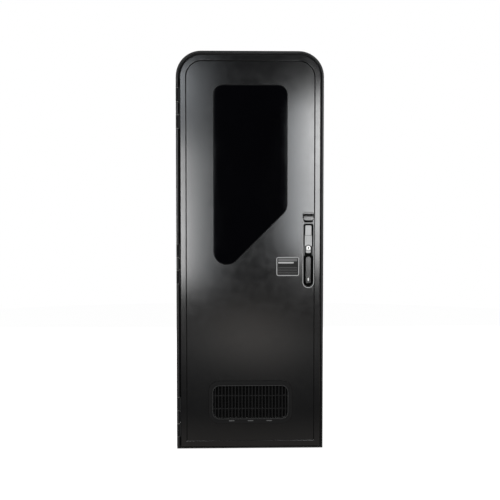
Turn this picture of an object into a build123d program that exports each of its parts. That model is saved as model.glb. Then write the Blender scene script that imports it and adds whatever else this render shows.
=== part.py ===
from build123d import *
from math import cos, radians, sin, tan
import os

# Caravan entry door: a hinged leaf in a clamp-in frame. Millimetres.
# X runs to the right seen from outside, Y runs from outside to inside, Z is up.
# The origin is the middle of the sill's lower edge, on the rear face of the frame flange.

# Hole in the wall and the frame that lines it
cutout_width = 622.0
cutout_height = 1740.0
wall_thickness = 32.0
flange_lap = 16.5
head_corner_radius = 112.0
lip_width = 9.0
lip_setback = 9.0
lip_outer_round = 4.5
lip_inner_round = 1.2
sill_lip_height = 7.0
flange_thickness = 3.0
web_thickness = 3.0
web_clearance = 3.0
web_setback = 4.0
screw_hole_diameter = 5.0
screw_hole_depth = 8.0
screw_hole_margin = 256.5
screw_hole_count = 4

# Inside clamp ring
clamp_thickness = 3.0
clamp_lap = 14.0
clamp_leg_thickness = 3.0
clamp_leg_depth = 17.0
clamp_edge_bevel = 1.2

# Rubber seal on the frame flange
seal_width = 6.0
seal_height = 5.0
seal_lip_offset = 2.0
seal_round = 2.0
running_gap = 5.0

# Door leaf
leaf_gap = 6.0
leaf_head_gap = 10.0
overlay_thickness = 15.0
plug_clearance = 8.0
plug_depth = 20.0
band_width = 25.3
band_outer_round = 3.0
band_inner_round = 2.0
groove_width = 3.2
rebate_width = 11.5
skin_recess = 1.0
skin_thickness = 2.0
inner_skin_thickness = 2.0

# Hinges
hinge_bead_diameter = 12.0
hinge_foot_height = 146.5
hinge_head_drop = 253.5
knuckle_length = 59.0
knuckle_end_gap = 0.5
knuckle_front_gap = 1.0
pin_diameter = 5.0
pin_fit = 0.1
pin_overrun = 4.0
pin_end_gap = 4.0
bead_end_margin = 6.0
strap_thickness = 3.0
strap_neck_thickness = 4.0
strap_edge_margin = 2.0

# Window
window_width = 323.0
window_head_margin = 133.0
window_bottom = 831.4
window_head_radius = 40.0
window_foot_radius = 56.0
window_foot_flat = 1.2
window_slant = 45.0
glass_thickness = 5.0
glass_bevel = 1.0
glass_proud = 1.0
gasket_width = 3.0
gasket_ledge_width = 6.0
gasket_ledge_thickness = 3.0
gasket_recess = 0.5
trim_flange_width = 20.0
trim_flange_thickness = 3.0
trim_edge_bevel = 1.2

# Vent
vent_width = 375.0
vent_height = 194.0
vent_centre_height = 212.0
vent_radius = 48.0
vent_border_side = 21.5
vent_border_end = 24.5
vent_flange_thickness = 3.0
vent_edge_bevel = 1.5
vent_inner_rim = 4.5
vent_channel_width = 6.0
vent_channel_depth = 1.5
vent_wall = 3.0
vent_spigot_depth = 15.0
vent_bar_width = 3.8
vent_bar_pitch = 15.0
vent_bar_depth = 3.5
vent_bar_recess = 0.5
vent_rail_height = 3.0
vent_rail_pitch = 58.5
vent_clip_width = 25.0
vent_clip_height = 4.5
vent_clip_proud = 1.2
vent_clip_pitch = 84.0
vent_clip_drop = 10.7
screen_thickness = 1.0
screen_setback = 6.0
louvre_width = 14.0
louvre_thickness = 2.0
louvre_pitch = 12.0
louvre_tilt = 35.0

# Lock on the outside
lock_edge_overhang = 0.75
escutcheon_width = 51.0
escutcheon_thickness = 3.0
escutcheon_foot_rim = 8.0
escutcheon_head_rim = 7.0
escutcheon_head_radius = 8.0
escutcheon_bridge = 10.0
rim_width = 2.5
rim_proud = 1.0
rim_bevel = 0.7
pocket_side_margin = 2.25
pocket_mouth_bevel = 2.0
pocket_bottom = 733.0
pocket_head_radius = 8.0
pocket_depth = 24.0
tub_wall = 2.0
cap_height = 23.5
cap_proud = 8.0
cap_swell = 2.2
cap_foot_radius = 10.0
cap_head_radius = 3.0
cap_edge_round = 1.5
cap_side_gap = 1.25
cap_foot_gap = 6.0
cap_head_gap = 6.0
cap_gasket_thickness = 1.0
insert_width = 32.0
insert_upper_width = 27.5
insert_above_key = 7.5
insert_proud = 1.5
insert_radius = 5.0
insert_head_gap = 5.5
insert_upper_height = 44.0
insert_groove_width = 1.4
insert_groove_depth = 1.5
insert_edge_bevel = 0.6
pad_above_key = 18.5
pad_width = 18.0
pad_height = 34.0
pad_head_radius = 3.0
pad_seam_gap = 2.5
barrel_width = 22.0
barrel_gap = 3.0
barrel_foot_radius = 5.0
barrel_proud = 2.0
barrel_seam_height = 10.0
finger_recess = 15.0
key_above_barrel_foot = 22.5
key_flange_diameter = 17.5
key_flange_thickness = 2.0
key_shank_diameter = 14.0
key_shank_length = 15.0
key_fit = 0.2
key_flange_gap = 0.5
keyway_width = 3.0
keyway_height = 9.0
keyway_depth = 8.0

# Pull handle
handle_width = 26.0
handle_length = 122.0
handle_foot_gap = 11.0
handle_thickness = 9.0
handle_proud = 3.0
handle_edge_round = 3.0
handle_foot_radius = 6.5
handle_head_radius = 12.0
handle_tip_relief = 4.0
handle_taper_length = 60.0
handle_pivot_above_end = 10.0
handle_pin_diameter = 6.0
handle_pin_behind = 4.0
handle_boss_diameter = 12.0
inlay_width = 6.5
inlay_height = 14.5
inlay_depth = 0.8
inlay_above_pivot = 9.0

# Lock on the inside
case_width = 56.0
case_height = 260.0
case_below_key = 139.5
case_depth = 16.0
case_corner_radius = 8.0
case_edge_bevel = 3.0
lever_width = 18.0
lever_height = 90.0
lever_thickness = 8.0
lever_edge_bevel = 2.0

# Latch and keeper
latch_height = 110.0
latch_width = 14.0
latch_thickness = 3.0
keeper_height = 90.0
keeper_width = 14.0
keeper_thickness = 1.5

# Label plate
label_width = 100.5
label_height = 84.0
label_lock_gap = 15.75
label_above_pocket = 46.0
label_radius = 9.0
label_thickness = 0.8
label_border = 3.0
label_border_proud = 0.4

# Outline of the frame
frame_width = cutout_width + 2 * flange_lap
frame_height = cutout_height + 2 * flange_lap
frame_right = frame_width / 2
frame_left = -frame_right
web_inset = flange_lap + web_clearance + web_thickness
web_depth = wall_thickness - web_setback
screw_hole_pitch = (frame_height - 2 * screw_hole_margin) / (screw_hole_count - 1)

# Outline of the leaf and its depths
leaf_left = frame_left + hinge_bead_diameter + leaf_gap
leaf_right = frame_right - lip_width - leaf_gap
leaf_bottom = sill_lip_height + leaf_gap
leaf_top = frame_height - lip_width - leaf_head_gap
leaf_centre = (leaf_left + leaf_right) / 2
leaf_corner_radius = head_corner_radius - lip_width - leaf_gap
overlay_back = -(flange_thickness + seal_height + running_gap)
leaf_face = overlay_back - overlay_thickness
lip_face = leaf_face + lip_setback
skin_face = leaf_face + skin_recess
skin_back = skin_face + skin_thickness
plug_back = overlay_back + plug_depth
leaf_back = plug_back + inner_skin_thickness
plug_inset = web_inset + plug_clearance
skin_inset = band_width + groove_width
core_inset = skin_inset + rebate_width
mitre_reach = plug_inset + core_inset

# Hinge axis
bead_radius = hinge_bead_diameter / 2
hinge_x = frame_left + bead_radius
hinge_y = lip_face - knuckle_front_gap - bead_radius
hinge_head_height = frame_height - hinge_head_drop
hinge_heights = {
    "upper": hinge_head_height,
    "middle": (hinge_head_height + hinge_foot_height) / 2,
    "lower": hinge_foot_height,
}

# Window and vent
window_left = leaf_centre - window_width / 2
window_right = leaf_centre + window_width / 2
window_top = leaf_top - window_head_margin
window_foot_width = window_foot_flat + window_foot_radius * (1 + tan(radians(window_slant / 2)))
window_knee_height = window_bottom + (window_width - window_foot_width) * tan(radians(window_slant))
glass_face = skin_face - glass_proud
glass_back = glass_face + glass_thickness
opening_width = vent_width - 2 * vent_border_side
opening_height = vent_height - 2 * vent_border_end
opening_radius = vent_radius - vent_border_side

# Lock, upwards from the foot of its pocket
lock_x = leaf_right - skin_inset + lock_edge_overhang - escutcheon_width / 2
pocket_width = escutcheon_width - 2 * (rim_width + pocket_side_margin)
well_width = escutcheon_width - 2 * rim_width
cap_width = well_width - 2 * cap_side_gap
escutcheon_bottom = pocket_bottom - escutcheon_foot_rim
handle_bottom = pocket_bottom + handle_foot_gap
handle_top = handle_bottom + handle_length
handle_pivot_z = handle_bottom + handle_pivot_above_end
barrel_bottom = handle_top + finger_recess
key_height = barrel_bottom + key_above_barrel_foot
insert_bottom = key_height + insert_above_key
pad_bottom = key_height + pad_above_key
pad_top = pad_bottom + pad_height
insert_seam = pad_top + pad_seam_gap + insert_groove_width
insert_top = insert_seam + insert_upper_height
pocket_top = insert_top + insert_head_gap
well_bottom = pocket_top + escutcheon_bridge
cap_bottom = well_bottom + cap_foot_gap
cap_top = cap_bottom + cap_height
well_top = cap_top + cap_head_gap
escutcheon_top = well_top + escutcheon_head_rim

# Depths in the lock
plate_face = skin_face - escutcheon_thickness
cap_gasket_face = skin_face - cap_gasket_thickness
cap_face = plate_face - cap_proud
pocket_floor = skin_face + pocket_depth
insert_face = skin_face - insert_proud
barrel_face = skin_face - barrel_proud
handle_face = skin_face - handle_proud
handle_back = handle_face + handle_thickness
handle_pivot_y = handle_back + handle_pin_behind
case_back = leaf_back + case_depth
case_bottom = key_height - case_below_key
case_top = case_bottom + case_height


def slab(outline, outer, inner):
    """Solid of an outline drawn in X and Z, from its outer depth to its inner depth."""
    return extrude(Plane.XZ.offset(-inner) * outline, inner - outer)


def side_slab(profile, middle, width):
    """Solid of a profile drawn in Y and Z, as wide as given about a middle in X."""
    return extrude(Plane.YZ.offset(middle) * profile, width / 2, both=True)


def rectangle(left, right, bottom, top):
    """Plain rectangle from its four sides."""
    return Pos((left + right) / 2, (bottom + top) / 2) * Rectangle(right - left, top - bottom)


def rounded_head(left, right, bottom, top, radius):
    """Rectangle with round upper corners."""
    face = rectangle(left, right, bottom, top)
    return fillet(face.vertices().group_by(Axis.Y)[-1], radius)


def rounded_foot(face, radius):
    """Face with its two lowest corners made round."""
    return fillet(face.vertices().group_by(Axis.Y)[0], radius)


def round_footed(middle, width, bottom, top, head_radius):
    """Upright shape that ends in a half circle at its foot and in round corners at its head."""
    half = width / 2
    upper = rounded_head(middle - half, middle + half, bottom + half, top, head_radius)
    return upper + Pos(middle, bottom + half) * Circle(half)


def edges_at_depth(solid, depth):
    """Edges that lie flat at one depth."""
    return solid.edges().filter_by_position(Axis.Y, depth - 0.01, depth + 0.01)


def round_front(ring, outer_radius, inner_radius):
    """Ring with the outer and the inner edge of its front made round."""
    front = ring.faces().filter_by(Axis.Y).sort_by(Axis.Y)[0]
    ring = fillet(front.outer_wire().edges(), outer_radius)
    front = ring.faces().filter_by(Axis.Y).sort_by(Axis.Y)[0]
    return fillet(front.inner_wires()[0].edges(), inner_radius)


def frame_outline(inset, foot):
    """Frame outline drawn in by an inset at its sides and head, with its foot at a height."""
    return rounded_head(
        frame_left + inset, frame_right - inset, foot, frame_height - inset, head_corner_radius - inset
    )


def leaf_outline(inset):
    """Leaf outline drawn in by an inset all round."""
    return rounded_head(
        leaf_left + inset,
        leaf_right - inset,
        leaf_bottom + inset,
        leaf_top - inset,
        leaf_corner_radius - inset,
    )


def plug_outline():
    """Back part of the leaf that stands inside the frame's web."""
    return frame_outline(plug_inset, plug_inset)


def split_at_mitres(ring, left, right, bottom):
    """A closed ring as its bent hoop and its straight bottom member, cut by a mitre at each end."""
    points = [
        (left, bottom),
        (right, bottom),
        (right - mitre_reach, bottom + mitre_reach),
        (left + mitre_reach, bottom + mitre_reach),
    ]
    wedge = slab(make_face(Polyline(*points, close=True)), -frame_width, frame_width)
    return ring - wedge, ring & wedge


def frame_ring():
    """Closed ring of the frame extrusion: lip, flange and the web that lines the hole."""
    outer = frame_outline(0, 0)
    lip_inner = frame_outline(lip_width, sill_lip_height)
    reveal = frame_outline(web_inset, web_inset)
    web_outer = frame_outline(web_inset - web_thickness, web_inset - web_thickness)
    lip = round_front(slab(outer - lip_inner, lip_face, 0), lip_outer_round, lip_inner_round)
    flange = slab(lip_inner - reveal, -flange_thickness, 0)
    web = slab(web_outer - reveal, 0, web_depth)
    return lip + flange + web


def screw_holes():
    """Bores along X through both jamb webs, in a row up each side."""
    bores = []
    for step in range(screw_hole_count):
        height = screw_hole_margin + screw_hole_pitch * step
        place = Pos(0, screw_hole_depth, height) * Rot(0, 90, 0)
        bores.append(place * Cylinder(screw_hole_diameter / 2, frame_width))
    return bores


def clamp_ring():
    """Inside ring: a flange on the inner wall face and a leg inside the frame's web."""
    flange_outer = frame_outline(flange_lap - clamp_lap, flange_lap - clamp_lap)
    leg_outer = frame_outline(web_inset, web_inset)
    doorway = frame_outline(web_inset + clamp_leg_thickness, web_inset + clamp_leg_thickness)
    flange = slab(flange_outer - doorway, wall_thickness, wall_thickness + clamp_thickness)
    flange = chamfer(edges_at_depth(flange, wall_thickness + clamp_thickness), clamp_edge_bevel)
    leg = slab(leg_outer - doorway, wall_thickness - clamp_leg_depth, wall_thickness)
    return flange + leg


def frame_seal():
    """Rubber bulb on the flange, all round the leaf."""
    start = lip_width + seal_lip_offset
    outer = frame_outline(start, start)
    inner = frame_outline(start + seal_width, start + seal_width)
    top = -(flange_thickness + seal_height)
    seal = slab(outer - inner, top, -flange_thickness)
    return fillet(edges_at_depth(seal, top), seal_round)


def upright(radius, low, high):
    """Round bar on the hinge axis between two heights."""
    return Pos(hinge_x, hinge_y, (low + high) / 2) * Cylinder(radius, high - low)


def knuckle_spans(centre):
    """Heights of the lower, middle and upper knuckle of one hinge."""
    start = centre - 1.5 * knuckle_length
    return [(start + knuckle_length * step, start + knuckle_length * (step + 1)) for step in range(3)]


def hinge_pin(centre):
    """Pin through the three knuckles of one hinge."""
    reach = 1.5 * knuckle_length + pin_overrun
    return upright(pin_diameter / 2, centre - reach, centre + reach)


def hinge_pin_bore(centre):
    """Room for one hinge pin, with a gap beyond each of its ends."""
    reach = 1.5 * knuckle_length + pin_overrun + pin_end_gap
    return upright(pin_diameter / 2 + pin_fit, centre - reach, centre + reach)


def hinge_rail():
    """Round bead on a foot along the flat of the left lip, cut away where the leaf's knuckles turn."""
    low = sill_lip_height + bead_end_margin
    high = frame_height - head_corner_radius - bead_end_margin
    foot_left = frame_left + lip_outer_round
    foot_right = frame_left + lip_width - lip_inner_round
    foot = rectangle(foot_left, foot_right, hinge_y, lip_face)
    section = foot + Pos(hinge_x, hinge_y) * Circle(bead_radius)
    rail = extrude(Plane.XY.offset(low) * section, high - low)
    for centre in hinge_heights.values():
        spans = knuckle_spans(centre)
        for bottom, top in (spans[0], spans[2]):
            gap = Pos(hinge_x, hinge_y, (bottom + top) / 2)
            height = top - bottom + 2 * knuckle_end_gap
            rail = rail - gap * Box(2 * hinge_bead_diameter, 2 * hinge_bead_diameter, height)
        rail = rail - hinge_pin_bore(centre)
    return rail


def hinge_strap(centre):
    """Leaf half of one hinge: two knuckles, their necks and the plate on the leaf's edge."""
    spans = knuckle_spans(centre)
    plate_front = leaf_face + strap_edge_margin
    plate_back = overlay_back - strap_edge_margin
    plate = Pos(leaf_left - strap_thickness / 2, (plate_front + plate_back) / 2, centre)
    strap = plate * Box(strap_thickness, plate_back - plate_front, 3 * knuckle_length)
    for bottom, top in (spans[0], spans[2]):
        neck = Pos((hinge_x + leaf_left) / 2, hinge_y, (bottom + top) / 2)
        neck = neck * Box(leaf_left - hinge_x, strap_neck_thickness, knuckle_length)
        strap = strap + upright(bead_radius, bottom, top) + neck
    return strap - hinge_pin_bore(centre)


def window_outline(grow):
    """Glass outline, slanted at its lower right, grown or shrunk all round."""
    corners = [
        (window_left, window_bottom),
        (window_left + window_foot_width, window_bottom),
        (window_right, window_knee_height),
        (window_right, window_top),
        (window_left, window_top),
    ]
    face = make_face(Polyline(*corners, close=True))
    face = fillet(face.vertices().group_by(Axis.Y)[-1], window_head_radius)
    low_corners = [v for v in face.vertices() if v.Y < window_knee_height + 0.01]
    face = fillet(low_corners, window_foot_radius)
    return offset(face, grow) if grow else face


def vent_opening(grow):
    """Outline of the vent's barred opening, grown all round."""
    return Pos(leaf_centre, vent_centre_height) * RectangleRounded(
        opening_width + 2 * grow, opening_height + 2 * grow, opening_radius + grow
    )


def vent_rim():
    """Outline of the vent's flange."""
    return Pos(leaf_centre, vent_centre_height) * RectangleRounded(vent_width, vent_height, vent_radius)


def pocket_outline(grow):
    """Outline of the lock pocket, grown all round."""
    return round_footed(
        lock_x, pocket_width + 2 * grow, pocket_bottom - grow, pocket_top + grow, pocket_head_radius + grow
    )


def well_outline():
    """Outline of the sunk place round the cap."""
    half = well_width / 2
    outline = rectangle(lock_x - half, lock_x + half, well_bottom, well_top)
    return rounded_foot(outline, cap_foot_radius + cap_side_gap)


def latch_faceplate():
    """Plate let into the lock edge of the leaf's plug."""
    edge = frame_right - plug_inset
    place = Pos(edge - latch_thickness / 2, (overlay_back + plug_back) / 2, key_height)
    return place * Box(latch_thickness, latch_width, latch_height)


def leaf_ring():
    """Closed ring of the leaf extrusion: rounded band, rebate for the skin and the plug behind."""
    band = slab(leaf_outline(0) - leaf_outline(band_width), leaf_face, overlay_back)
    band = round_front(band, band_outer_round, band_inner_round)
    rebate = slab(leaf_outline(band_width) - leaf_outline(core_inset), skin_back, overlay_back)
    plug = slab(plug_outline() - leaf_outline(core_inset), overlay_back, plug_back)
    return band + rebate + plug - slab(pocket_outline(tub_wall), skin_face, plug_back) - latch_faceplate()


def outer_skin():
    """Painted outer sheet with holes for the window, the vent and the lock."""
    holes = window_outline(gasket_width) + vent_opening(vent_wall) + pocket_outline(tub_wall)
    return slab(leaf_outline(skin_inset) - holes, skin_face, skin_back)


def inner_skin():
    """Inside sheet over the plug, with holes for the window and the vent."""
    holes = window_outline(gasket_width) + vent_opening(vent_wall)
    return slab(plug_outline() - holes, plug_back, leaf_back)


def core_blocks():
    """Foam blocks between the skins, cut to fit round the window, the vent and the lock."""
    left = leaf_left + core_inset
    right = leaf_right - core_inset
    foot = leaf_bottom + core_inset
    head = leaf_top - core_inset
    lock_side = lock_x - pocket_width / 2 - tub_wall
    under_lock = pocket_bottom - tub_wall
    glass_head = window_top + gasket_width
    glass_foot = window_bottom - gasket_width
    knee = window_knee_height + gasket_width
    split = window_left + window_foot_radius
    vent_low = vent_centre_height - opening_height / 2 - vent_wall
    vent_high = vent_centre_height + opening_height / 2 + vent_wall
    blocks = {
        "core_head": rectangle(left, right, glass_head, head),
        "core_window_left": rectangle(left, split, glass_foot, glass_head),
        "core_window_right": rectangle(leaf_centre, right, knee, glass_head),
        "core_under_window": rectangle(split, lock_side, glass_foot, knee),
        "core_middle": rectangle(left, lock_side, under_lock, glass_foot),
        "core_waist": rectangle(left, right, vent_high, under_lock),
        "core_vent_left": rectangle(left, leaf_centre, vent_low, vent_high),
        "core_vent_right": rectangle(leaf_centre, right, vent_low, vent_high),
        "core_foot": rectangle(left, right, foot, vent_low),
    }
    lock_bay = rectangle(lock_side, right, under_lock, pocket_top + tub_wall)
    cavity = leaf_outline(core_inset) - window_outline(gasket_width) - vent_opening(vent_wall) - lock_bay
    return {name: slab(cavity & block, skin_back, plug_back) for name, block in blocks.items()}


def window_glass():
    """Flush pane with a small bevel."""
    pane = slab(window_outline(0), glass_face, glass_back)
    return chamfer(edges_at_depth(pane, glass_face), glass_bevel)


def window_gasket():
    """Rubber angle round the pane: a rim beside it and a ledge behind it."""
    hole = window_outline(gasket_width)
    rim = slab(hole - window_outline(0), glass_face + gasket_recess, glass_back)
    ledge_back = glass_back + gasket_ledge_thickness
    return rim + slab(hole - window_outline(-gasket_ledge_width), glass_back, ledge_back)


def window_inner_trim():
    """Inside trim: a flange on the inner skin and a sleeve that lines the reveal."""
    sleeve_front = glass_back + gasket_ledge_thickness
    flange_back = leaf_back + trim_flange_thickness
    sleeve = slab(window_outline(gasket_width) - window_outline(0), sleeve_front, leaf_back)
    flange = slab(window_outline(trim_flange_width) - window_outline(0), leaf_back, flange_back)
    return sleeve + chamfer(edges_at_depth(flange, flange_back), trim_edge_bevel)


def vent_grille():
    """Outer grille: channelled flange with clips, upright bars on two rails, and a spigot into the leaf."""
    flange_face = skin_face - vent_flange_thickness
    flange = slab(vent_rim() - vent_opening(0), flange_face, skin_face)
    flange = chamfer(edges_at_depth(flange, flange_face), vent_edge_bevel)
    channel = vent_opening(vent_inner_rim + vent_channel_width) - vent_opening(vent_inner_rim)
    flange = flange - slab(channel, flange_face, flange_face + vent_channel_depth)
    spigot = slab(vent_opening(vent_wall) - vent_opening(0), skin_face, skin_face + vent_spigot_depth)
    bar_face = flange_face + vent_bar_recess
    count = int(opening_width / vent_bar_pitch)
    bars = Sketch()
    for step in range(count):
        x = leaf_centre + (step - (count - 1) / 2) * vent_bar_pitch
        bars += Pos(x, vent_centre_height) * Rectangle(vent_bar_width, vent_height)
    for side in (-1, 1):
        z = vent_centre_height + side * vent_rail_pitch / 2
        bars += Pos(leaf_centre, z) * Rectangle(vent_width, vent_rail_height)
    lattice = slab(bars & vent_opening(vent_edge_bevel), bar_face, bar_face + vent_bar_depth)
    clips = Sketch()
    for step in (-1, 0, 1):
        z = vent_centre_height - opening_height / 2 - vent_clip_drop
        clips += Pos(leaf_centre + step * vent_clip_pitch, z) * Rectangle(vent_clip_width, vent_clip_height)
    return flange + spigot + lattice + slab(clips, flange_face - vent_clip_proud, skin_face)


def vent_screen():
    """Insect screen across the spigot."""
    front = skin_face + screen_setback
    return slab(vent_opening(0), front, front + screen_thickness)


def vent_inner_grille():
    """Inside grille: flange, louvres with their outer edge low, and a short spigot."""
    flange_back = leaf_back + vent_flange_thickness
    flange = slab(vent_rim() - vent_opening(0), leaf_back, flange_back)
    flange = chamfer(edges_at_depth(flange, flange_back), vent_edge_bevel)
    spigot = slab(vent_opening(vent_wall) - vent_opening(0), leaf_back - vent_spigot_depth, leaf_back)
    tilt = radians(louvre_tilt)
    louvre_depth = louvre_width * sin(tilt) + louvre_thickness * cos(tilt)
    middle = flange_back - vent_bar_recess - louvre_depth / 2
    count = int(opening_height / louvre_pitch)
    rise = opening_height / count
    louvres = Part()
    for step in range(count):
        z = vent_centre_height + (step - (count - 1) / 2) * rise
        place = Pos(leaf_centre, middle, z) * Rot(-louvre_tilt, 0, 0)
        louvres += place * Box(vent_width, louvre_thickness, louvre_width)
    louvres = louvres & slab(vent_opening(vent_edge_bevel), plug_back - plug_depth, flange_back)
    return flange + spigot + louvres


def escutcheon_outline(inset):
    """Outline of the lock's plate, drawn in all round."""
    return round_footed(
        lock_x,
        escutcheon_width - 2 * inset,
        escutcheon_bottom + inset,
        escutcheon_top - inset,
        escutcheon_head_radius - inset,
    )


def lock_escutcheon():
    """Plate round the bevelled mouth of the lock pocket and round the cap, with a raised rim."""
    outline = escutcheon_outline(0)
    plate = slab(outline - pocket_outline(0), plate_face, skin_face)
    front = plate.faces().filter_by(Axis.Y).sort_by(Axis.Y)[0]
    plate = chamfer(front.inner_wires()[0].edges(), pocket_mouth_bevel)
    plate = plate - slab(well_outline(), plate_face, skin_face)
    rim_face = plate_face - rim_proud
    rim = slab(outline - escutcheon_outline(rim_width), rim_face, plate_face)
    return plate + chamfer(edges_at_depth(rim, rim_face), rim_bevel)


def lock_tub():
    """Moulded tray behind the escutcheon, with bores for the handle pin."""
    shell = slab(pocket_outline(tub_wall), skin_face, pocket_floor + tub_wall)
    hollow = slab(pocket_outline(0), skin_face, pocket_floor)
    return shell - hollow - handle_pin_bar(pin_fit)


def handle_pin_bar(grow):
    """Pin across the tub that the handle turns on, grown in radius."""
    place = Pos(lock_x, handle_pivot_y, handle_pivot_z) * Rot(0, 90, 0)
    return place * Cylinder(handle_pin_diameter / 2 + grow, pocket_width + tub_wall)


def cap_gasket():
    """Rubber pad under the cap, which shows as a dark line round it."""
    return slab(well_outline(), cap_gasket_face, skin_face)


def lock_cap():
    """Raised cap with a face that swells from its head to its foot."""
    half = cap_width / 2
    outline = rounded_head(lock_x - half, lock_x + half, cap_bottom, cap_top, cap_head_radius)
    outline = rounded_foot(outline, cap_foot_radius)
    foot = (cap_face, cap_bottom)
    head = (cap_face + cap_swell, cap_top)
    swell = TangentArc(foot, head, tangent=(0, 1))
    seat = Polyline(head, (cap_gasket_face, cap_top), (cap_gasket_face, cap_bottom), foot)
    cap = side_slab(make_face(swell + seat), lock_x, cap_width) & slab(outline, cap_face, cap_gasket_face)
    return fillet(cap.faces().sort_by(Axis.Y)[0].edges(), cap_edge_round)


def lock_insert():
    """Grey insert on the tub floor: arched over the barrel, narrow above its seam, with a pad in it."""
    half = insert_width / 2
    upper_half = insert_upper_width / 2
    arch = Pos(lock_x, key_height) * Circle(barrel_width / 2 + barrel_gap)
    lower = rectangle(lock_x - half, lock_x + half, insert_bottom, insert_seam)
    upper = rounded_head(lock_x - upper_half, lock_x + upper_half, insert_seam, insert_top, insert_radius)
    block = slab(lower + upper - arch, insert_face, pocket_floor)
    block = chamfer(edges_at_depth(block, insert_face), insert_edge_bevel)
    pad = round_footed(lock_x, pad_width, pad_bottom, pad_top, pad_head_radius)
    grooves = offset(pad, insert_groove_width) - pad
    grooves += rectangle(lock_x - half, lock_x + half, insert_seam - insert_groove_width, insert_seam)
    return block - slab(grooves, insert_face, insert_face + insert_groove_depth)


def key_barrel():
    """Arched housing of the key plug on the tub floor, with a seam below the key."""
    half = barrel_width / 2
    foot = rectangle(lock_x - half, lock_x + half, barrel_bottom, key_height)
    foot = rounded_foot(foot, barrel_foot_radius)
    body = slab(foot + Pos(lock_x, key_height) * Circle(half), barrel_face, pocket_floor)
    body = chamfer(edges_at_depth(body, barrel_face), insert_edge_bevel)
    seam_foot = barrel_bottom + barrel_seam_height
    seam = rectangle(lock_x - half, lock_x + half, seam_foot, seam_foot + insert_groove_width)
    bore_depth = key_shank_length + key_flange_gap
    bore = Pos(lock_x, barrel_face + bore_depth / 2, key_height) * Rot(90, 0, 0)
    bore = bore * Cylinder(key_shank_diameter / 2 + key_fit, bore_depth)
    return body - slab(seam, barrel_face, barrel_face + insert_groove_depth) - bore


def key_plug():
    """Turning plug with a flange and an upright, round-ended keyway."""
    flange_back = barrel_face - key_flange_gap
    flange_face = flange_back - key_flange_thickness
    flange = Pos(lock_x, (flange_face + flange_back) / 2, key_height) * Rot(90, 0, 0)
    flange = flange * Cylinder(key_flange_diameter / 2, key_flange_thickness)
    shank = Pos(lock_x, flange_back + key_shank_length / 2, key_height) * Rot(90, 0, 0)
    shank = shank * Cylinder(key_shank_diameter / 2, key_shank_length)
    keyway = Pos(lock_x, key_height) * SlotOverall(keyway_height, keyway_width, rotation=90)
    return flange + shank - slab(keyway, flange_face, flange_face + keyway_depth)


def pull_handle():
    """Paddle with a round head that thins to its tip, a bare inlay recess and a boss on the handle pin."""
    half = handle_width / 2
    outline = rounded_head(lock_x - half, lock_x + half, handle_bottom, handle_top, handle_head_radius)
    paddle = slab(rounded_foot(outline, handle_foot_radius), handle_face, handle_back)
    paddle = fillet(edges_at_depth(paddle, handle_face), handle_edge_round)
    taper = [
        (handle_back, handle_top - handle_taper_length),
        (handle_back, handle_top),
        (handle_back - handle_tip_relief, handle_top),
    ]
    relief = side_slab(make_face(Polyline(*taper, close=True)), lock_x, handle_width)
    boss = Pos(lock_x, handle_pivot_y, handle_pivot_z) * Rot(0, 90, 0)
    boss = boss * Cylinder(handle_boss_diameter / 2, handle_width)
    inlay = Pos(lock_x, handle_pivot_z + inlay_above_pivot) * Ellipse(inlay_width / 2, inlay_height / 2)
    recess = slab(inlay, handle_face, handle_face + inlay_depth)
    return paddle - relief + boss - recess - handle_pin_bar(pin_fit)


def inner_lock_case():
    """Lock case on the inside of the leaf."""
    outline = Pos(lock_x, (case_bottom + case_top) / 2) * RectangleRounded(
        case_width, case_height, case_corner_radius
    )
    case = slab(outline, leaf_back, case_back)
    return chamfer(edges_at_depth(case, case_back), case_edge_bevel)


def inner_lever():
    """Release lever on the inside lock case."""
    outline = Pos(lock_x, (case_bottom + case_top) / 2) * SlotOverall(lever_height, lever_width, rotation=90)
    lever = slab(outline, case_back, case_back + lever_thickness)
    return chamfer(edges_at_depth(lever, case_back + lever_thickness), lever_edge_bevel)


def latch_keeper():
    """Striking plate on the frame's web, level with the latch."""
    face = frame_right - web_inset
    middle = (overlay_back + plug_back) / 2
    depth = max(middle, keeper_width / 2)
    return Pos(face - keeper_thickness / 2, depth, key_height) * Box(
        keeper_thickness, keeper_width, keeper_height
    )


def label_plate():
    """Bare plate beside the lock, with a raised border."""
    middle = lock_x - (escutcheon_width + label_width) / 2 - label_lock_gap
    place = Pos(middle, pocket_bottom + label_above_pocket + label_height / 2)
    field = place * RectangleRounded(label_width, label_height, label_radius)
    inner = place * RectangleRounded(
        label_width - 2 * label_border, label_height - 2 * label_border, label_radius - label_border
    )
    face = skin_face - label_thickness
    return slab(field, face, skin_face) + slab(field - inner, face - label_border_proud, face)


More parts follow.
